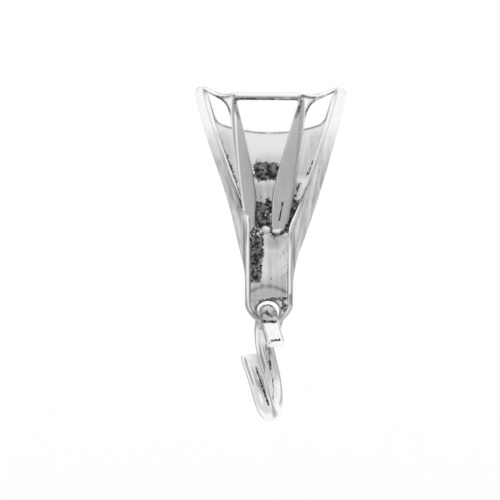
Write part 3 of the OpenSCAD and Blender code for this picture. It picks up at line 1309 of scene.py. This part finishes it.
def polish_group() -> bpy.types.NodeTree:
    """Height of hand polishing: fine scratches over slow, shallow waves.

    Formula: noise stretched along two directions gives scratches, where it lies close to one
    half. Plain noise at about one wave to the millimetre gives the hand's slow ripple, and a finer
    one the haze.

    Returns:
        The group.
    """
    group = Group("HandPolish", ("Scratches",), ("Height", "Haze"))
    n, place = group.nodes, group.given["Vector"]
    stretch, fineness, depth = 0.035, 0.012, 0.02
    total = None
    for turn, size, share in ((0.5, 9000, 0.6), (-0.7, 7000, 0.4)):
        drawn = n.add("Mapping", Vector=place, Rotation=(0.2, turn, 0.1),
                      Scale=(size, size, size * stretch))
        grain = n.noise(drawn.outputs[0], 1.0, 2.0)
        line = n.math("ABSOLUTE", n.math("SUBTRACT", grain, 0.5))
        fine = n.math("MULTIPLY", n.math("LESS_THAN", line, fineness), -share)
        total = fine if total is None else n.math("ADD", total, fine)
    marks = n.math("MULTIPLY", total, n.math("MULTIPLY", group.given["Scratches"], depth))
    return group.put_out(Height=n.math("ADD", n.noise(place, 1300.0, 1.0), marks),
                         Haze=n.noise(place, 2600.0, 4.0))


def solder_group() -> bpy.types.NodeTree:
    """Rough skin of solder: rounded lumps from cells, and small dark pits between them.

    Formula: noise less a share of the distance to the nearest cell's middle gives the lumps,
    and the pits lie where the noise is high.

    Returns:
        The group.
    """
    group = Group("SolderSkin", ("Mask",), ("Height", "Pits"))
    n, place, mask = group.nodes, group.given["Vector"], group.given["Mask"]
    cell_depth, pits_from = 0.6, 0.58
    cells = n.add("TexVoronoi", Vector=place, Scale=5200.0).outputs["Distance"]
    lumps = n.noise(place, 4200.0, 3.0)
    height = n.math("ADD", n.math("MULTIPLY", cells, -cell_depth), lumps)
    pits = n.math("GREATER_THAN", lumps, pits_from)
    return group.put_out(Height=n.math("MULTIPLY", height, mask),
                         Pits=n.math("MULTIPLY", pits, mask))


def patina_and_shade_group() -> bpy.types.NodeTree:
    """Painted shadows, dark reflections and shade, and tarnish in recesses; the darks break up
    into specks at their edges and are mottled inside.

    Formula: the painted darks' cover plus noise, through a smooth step, gives ragged patches,
    which small bare sparks break through. Recesses gather grime, and noise breaks up the painted
    shade lines along edges. Another noise sets how dark each place is. Where shade is painted, the
    metal is greyed in clouds and upright streaks.

    Returns:
        The group.
    """
    group = Group("Patina", ("Stain", "Line", "Recess", "Shade"),
                  ("Cover", "Tone", "Height", "Dull"))
    n, given, place = group.nodes, group.given, group.given["Vector"]
    raggedness, grime_grain = 1.9, 0.25
    grime_from, grime_depth = 0.45, 0.9
    cloud_depth, streak_depth, streak_from = 1.3, 1.7, 0.5
    specks = n.noise(place, 7000.0, 4.0, Roughness=0.65)
    ragged = n.math("MULTIPLY", n.math("SUBTRACT", specks, 0.5), raggedness)
    bare = n.ramp(n.noise(place, 8800.0, 2.0), 0.7, 0.64)
    wobble = n.math("SUBTRACT", n.noise(place, 2300.0, 1.0), 0.5)
    stain = n.math("ADD", given["Stain"], n.math("ADD", ragged, wobble))
    patches = n.ramp(stain, 0.4, 0.72, interpolation_type="SMOOTHSTEP")
    patches = n.math("MULTIPLY", patches, bare)

    line = n.math("MULTIPLY", given["Line"], n.ramp(n.noise(place, 2400.0, 3.0), 0.25, 0.5))
    deep = n.math("MULTIPLY", n.math("SUBTRACT", given["Recess"], grime_from), grime_depth)
    grime = n.math("ADD", deep, n.math("MULTIPLY", ragged, grime_grain))
    cover = n.math("MAXIMUM", patches, n.math("MAXIMUM", line, grime))

    clouds = n.math("MULTIPLY", n.noise(place, 900.0, 4.0), cloud_depth)
    drawn = n.add("Mapping", Vector=place, Scale=(4200, 4200, 420)).outputs[0]
    streaks = n.math("MULTIPLY", n.noise(drawn, 1.0, 3.0), streak_depth)
    streaks = n.math("SUBTRACT", streaks, streak_from)
    dull = n.math("MULTIPLY", given["Shade"], n.math("ADD", clouds, streaks))
    tone = n.ramp(n.noise(place, 6000.0, 4.0), 0.42, 0.72)
    return group.put_out(Cover=n.clamp(cover), Tone=tone, Dull=n.clamp(dull),
                         Height=n.math("MULTIPLY", specks, patches))


@dataclass(frozen=True)
class SilverWithPaintedShade:
    """Polished silver with hand-polishing marks, tarnish, solder, and painted shade, shadows and
    dark reflections.

    Attributes:
        name: Name of the material.
        roughness: Roughness of the clean metal.
        haze: How much the roughness varies.
        ripple: Depth of the slow waves, in millimetres.
        scratches: Strength of the fine scratches.
        solder: Whether the piece has solder on it.
        bright: Colour of the clean metal.
        shaded: Colour of the metal under painted shade.
        tarnish_and_shadow: Colour of the darkest tarnish and painted dark.
        light_tarnish_and_shadow: Colour of the lightest tarnish and painted dark.
        dark_roughness: How much rougher the tarnish and painted darks are.
        dark_relief: How far the tarnish and painted darks stand up, in millimetres.
        solder_roughness: How much rougher the solder is.
        solder_relief: How far its lumps stand up, in millimetres.
        pit_cover: How dark its pits are, as a share of the tarnish.
    """

    name: str
    roughness: float
    haze: float
    ripple: float
    scratches: float
    solder: bool
    bright: Colour = (0.93, 0.93, 0.925, 1)
    dull: Colour = (0.27, 0.27, 0.265, 1)
    tarnish_and_shadow: Colour = (0.03, 0.03, 0.032, 1)
    light_tarnish_and_shadow: Colour = (0.33, 0.33, 0.32, 1)
    dark_roughness: float = 0.22
    dark_relief: float = 0.03
    solder_roughness: float = 0.1
    solder_relief: float = 0.06
    pit_cover: float = 0.6

    def build(self, groups: Groups) -> bpy.types.Material:
        """Makes the material from the shared groups.

        Args:
            groups: The shared groups by name.

        Returns:
            The material.
        """
        material = bpy.data.materials.new(self.name)
        material.use_nodes = True
        tree = material.node_tree
        tree.nodes.clear()
        n = Nodes(tree)
        place = n.add("TexCoord").outputs["Object"]
        marks = {name: n.add("Attribute", attribute_name=name).outputs["Fac"]
                 for name in ("recess", "stain", "shade", "edge_line")}
        polish = n.add("Group", node_tree=groups["polish"], Vector=place,
                       Scratches=self.scratches).outputs
        patina = n.add("Group", node_tree=groups["patina"], Vector=place, Stain=marks["stain"],
                       Line=marks["edge_line"], Recess=marks["recess"],
                       Shade=marks["shade"]).outputs
        cover = patina["Cover"]
        rough = n.math("ADD", n.math("MULTIPLY", polish["Haze"], self.haze),
                       self.roughness - self.haze / 2)
        rough = n.math("ADD", rough, n.math("MULTIPLY", cover, self.dark_roughness))
        normal = n.add("Bump", Strength=1.0, Distance=self.ripple / 1000,
                       Height=polish["Height"]).outputs[0]
        normal = n.add("Bump", Strength=1.0, Distance=self.dark_relief / 1000, Normal=normal,
                       Height=patina["Height"]).outputs[0]
        if self.solder:
            spot = n.add("Attribute", attribute_name="solder").outputs["Fac"]
            skin = n.add("Group", node_tree=groups["solder"], Vector=place, Mask=spot).outputs
            rough = n.math("ADD", rough, n.math("MULTIPLY", spot, self.solder_roughness))
            cover = n.math("MULTIPLY", cover, n.math("SUBTRACT", 1.0, spot))
            pits = n.math("MULTIPLY", skin["Pits"], self.pit_cover)
            cover = n.clamp(n.math("ADD", cover, pits))
            normal = n.add("Bump", Strength=1.0, Distance=self.solder_relief / 1000,
                           Normal=normal, Height=skin["Height"]).outputs[0]
        # The darks mix tarnish with painted shadows and dark reflections; painted shade greys the
        # bright metal
        dark = n.mix(Mixed.COLOURS, patina["Tone"], self.tarnish_and_shadow, self.light_tarnish_and_shadow)
        shaded_metal = n.mix(Mixed.COLOURS, patina["Dull"], self.bright, self.dull)
        colour = n.mix(Mixed.COLOURS, cover, shaded_metal, dark)
        shader = n.add("BsdfPrincipled", Metallic=1.0, Base_Color=colour, Roughness=rough,
                       Normal=normal)
        n.join(shader.outputs[0], n.add("OutputMaterial").inputs["Surface"])
        return material


SHEET_SILVER_AND_SHADE = SilverWithPaintedShade("silver_sheet_polish_and_shade", roughness=0.1, haze=0.08, ripple=0.004,
                            scratches=1.0, solder=True)
WIRE_SILVER_AND_SHADE = SilverWithPaintedShade("silver_wire_polish_and_shade", roughness=0.08, haze=0.06, ripple=0.003,
                           scratches=0.7, solder=False)


# Studio

@dataclass(frozen=True)
class TentPatch:
    """A grey patch of the white tent round the object, which only reflections see.

    Attributes:
        azimuth: Its middle, in degrees round the object, as the camera angles count.
        elevation: Its middle, in degrees above the object.
        width: Width in degrees.
        height: Height in degrees.
        light: How bright it is, where 1 is the white tent.
        soft: Width of its soft edge, in degrees.
    """

    azimuth: float
    elevation: float
    width: float
    height: float
    light: float
    soft: float

    def cover(self, n: Nodes, angle: Socket, middle: float, size: float) -> Socket:
        """Share of the patch at an angle.

        Formula: 1 inside, and a smooth fall to 0 over the soft edge.

        Args:
            n: Helper of the tree.
            angle: The angle, in degrees.
            middle: The patch's middle.
            size: Its width or height.

        Returns:
            The share, from 0 to 1.
        """
        away = n.math("ABSOLUTE", n.math("SUBTRACT", angle, middle))
        return n.ramp(away, size / 2 - self.soft / 2, size / 2 + self.soft / 2, To_Min=1.0,
                      To_Max=0.0, interpolation_type="SMOOTHSTEP")

    def paint(self, n: Nodes, azimuth: Socket, elevation: Socket, light: Value) -> Socket:
        """Changes the tent's light where the patch lies.

        Formula: a mix from the light so far to the patch's own, by the share of the patch.

        Args:
            n: Helper of the tree.
            azimuth: Angle round the object, in degrees.
            elevation: Angle above it.
            light: Light of the tent so far.

        Returns:
            The light with the patch on it.
        """
        wrapped = n.math("WRAP", n.math("SUBTRACT", azimuth, self.azimuth), 180.0, -180.0)
        share = n.math("MULTIPLY", self.cover(n, wrapped, 0, self.width),
                       self.cover(n, elevation, self.elevation, self.height))
        return n.mix(Mixed.VALUES, share, light, self.light)


# Each row: azimuth, elevation, width, height, light and soft. A later patch covers an earlier
# one: first the ground with two bright strips in it, then the back, the front and the sides.
TENT = (
    TentPatch(0, -90, 360, 110, 0.76, 26),
    TentPatch(0, -64, 60, 26, 1.0, 10),
    TentPatch(180, -52, 100, 34, 1.0, 14),
    TentPatch(-148, -4, 44, 50, 0.45, 16),
    TentPatch(140, -8, 30, 60, 0.5, 16),
    TentPatch(-165, 22, 40, 10, 0.15, 8),
    TentPatch(0, -26, 44, 24, 0.53, 10),
    TentPatch(0, -8, 40, 14, 0.6, 10),
    TentPatch(0, 8, 50, 16, 0.84, 10),
    TentPatch(65, -16, 44, 44, 0.5, 10),
    TentPatch(-65, -16, 44, 44, 0.5, 10),
    TentPatch(38, -27, 40, 22, 0.42, 8),
)


@dataclass
class Studio:
    """Pale floor, white tent with grey patches in its reflections, and the camera.

    Attributes:
        body: The bail, whose frame the camera is set by.
        picture: Side of the picture, in pixels.
        pixels_per_mm: Scale of the picture.
        end_across: Place of the tab's round end in the picture, in pixels from the left.
        end_down: The same, in pixels from the top.
        distance: From the object to the camera, in millimetres.
        azimuth: Of the camera, in degrees round the object from the front to the right.
        elevation: Of the camera, in degrees.
        sensor: Width of the camera's sensor, in millimetres.
        plain_light: Light of the tent, in all that isn't a reflection.
        floor_drop: Height of the origin above the floor, in millimetres.
        floor_side: Half a side of the floor, in metres.
        floor_colour: Colour of the floor.
    """

    body: BailBody
    picture: int = 500
    pixels_per_mm: float = 22.5
    end_across: float = 269.3
    end_down: float = 328
    distance: float = 400.0
    azimuth: float = 3.0
    elevation: float = 8.0
    sensor: float = 36
    plain_light: float = 1.05
    floor_drop: float = 20.0
    floor_side: float = 3.0
    floor_colour: Colour = (0.95, 0.95, 0.95, 1)

    def towards_camera(self) -> Vector:
        """Direction from the object towards the camera."""
        a, e = math.radians(self.azimuth), math.radians(self.elevation)
        return Vector((math.sin(a) * math.cos(e), -math.cos(a) * math.cos(e), math.sin(e)))

    def centre(self) -> Vector:
        """Middle of the picture on the object, in metres."""
        x = (self.picture / 2 - self.end_across) / self.pixels_per_mm
        up = (self.end_down - self.picture / 2) / self.pixels_per_mm
        z = up / math.cos(math.radians(self.elevation))
        return Vector((vec(x, 0, z) - self.body.origin) / 1000)

    def tent(self) -> None:
        """Makes the world: plain white light, and the patched tent for reflections alone."""
        world = bpy.data.worlds.new("tent")
        world.use_nodes = True
        tree = world.node_tree
        tree.nodes.clear()
        n = Nodes(tree)
        x, y, z = n.add("SeparateXYZ", Vector=n.add("TexCoord").outputs["Generated"]).outputs
        degrees = math.degrees(1)
        round_object = n.math("ARCTAN2", x, n.math("MULTIPLY", y, -1.0))
        azimuth = n.math("MULTIPLY", round_object, degrees)
        elevation = n.math("MULTIPLY", n.math("ARCSINE", z), degrees)
        light = 1.0
        for patch in TENT:
            light = patch.paint(n, azimuth, elevation, light)
        glossy = n.add("LightPath").outputs["Is Glossy Ray"]
        shown = n.mix(Mixed.VALUES, glossy, self.plain_light, light)
        back = n.add("Background", Color=(1, 1, 1, 1), Strength=shown)
        n.join(back.outputs[0], n.add("OutputWorld").inputs["Surface"])
        bpy.context.scene.world = world

    def floor(self) -> None:
        """Makes the pale floor, which reflections don't see."""
        side = self.floor_side
        mesh = bpy.data.meshes.new("floor")
        mesh.from_pydata([(-side, -side, 0), (side, -side, 0), (side, side, 0), (-side, side, 0)],
                         [], [(0, 1, 2, 3)])
        floor = bpy.data.objects.new("floor", mesh)
        bpy.context.scene.collection.objects.link(floor)
        floor.location = (0, 0, -self.floor_drop / 1000)
        floor.visible_glossy = False
        paper = bpy.data.materials.new("floor_paper")
        paper.use_nodes = True
        shader = paper.node_tree.nodes["Principled BSDF"]
        shader.inputs["Base Color"].default_value = self.floor_colour
        shader.inputs["Roughness"].default_value = 0.9
        shader.inputs["Specular IOR Level"].default_value = 0.0
        mesh.materials.append(paper)

    def camera(self) -> None:
        """Makes the camera, far off with a long lens, at the picture's angle."""
        scene = bpy.context.scene
        camera = bpy.data.objects.new("camera_lens", bpy.data.cameras.new("camera_lens"))
        scene.collection.objects.link(camera)
        back = self.towards_camera()
        camera.location = self.centre() + back * self.distance / 1000
        camera.rotation_mode = "QUATERNION"
        camera.rotation_quaternion = (-back).to_track_quat("-Z", "Y")
        camera.data.sensor_width = self.sensor
        camera.data.lens = self.sensor * self.distance / (self.picture / self.pixels_per_mm)
        camera.data.clip_start, camera.data.clip_end = 0.01, 20
        scene.camera = camera

    def build(self) -> None:
        """Makes the tent, the floor and the camera."""
        bpy.context.scene.view_settings.view_transform = "Standard"
        self.tent()
        self.floor()
        self.camera()


def main() -> None:
    """Builds the pieces in order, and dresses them."""
    logging.basicConfig(level=logging.INFO, format="%(name)s: %(message)s")
    groups = {"polish": polish_group(), "solder": solder_group(), "patina": patina_and_shade_group()}
    body = BailBody()
    body.dress(body.build(), groups)
    ring = JumpRing(body)
    ring.dress(ring.build(), groups)
    Studio(body).build()


if __name__ == "__main__":
    main()
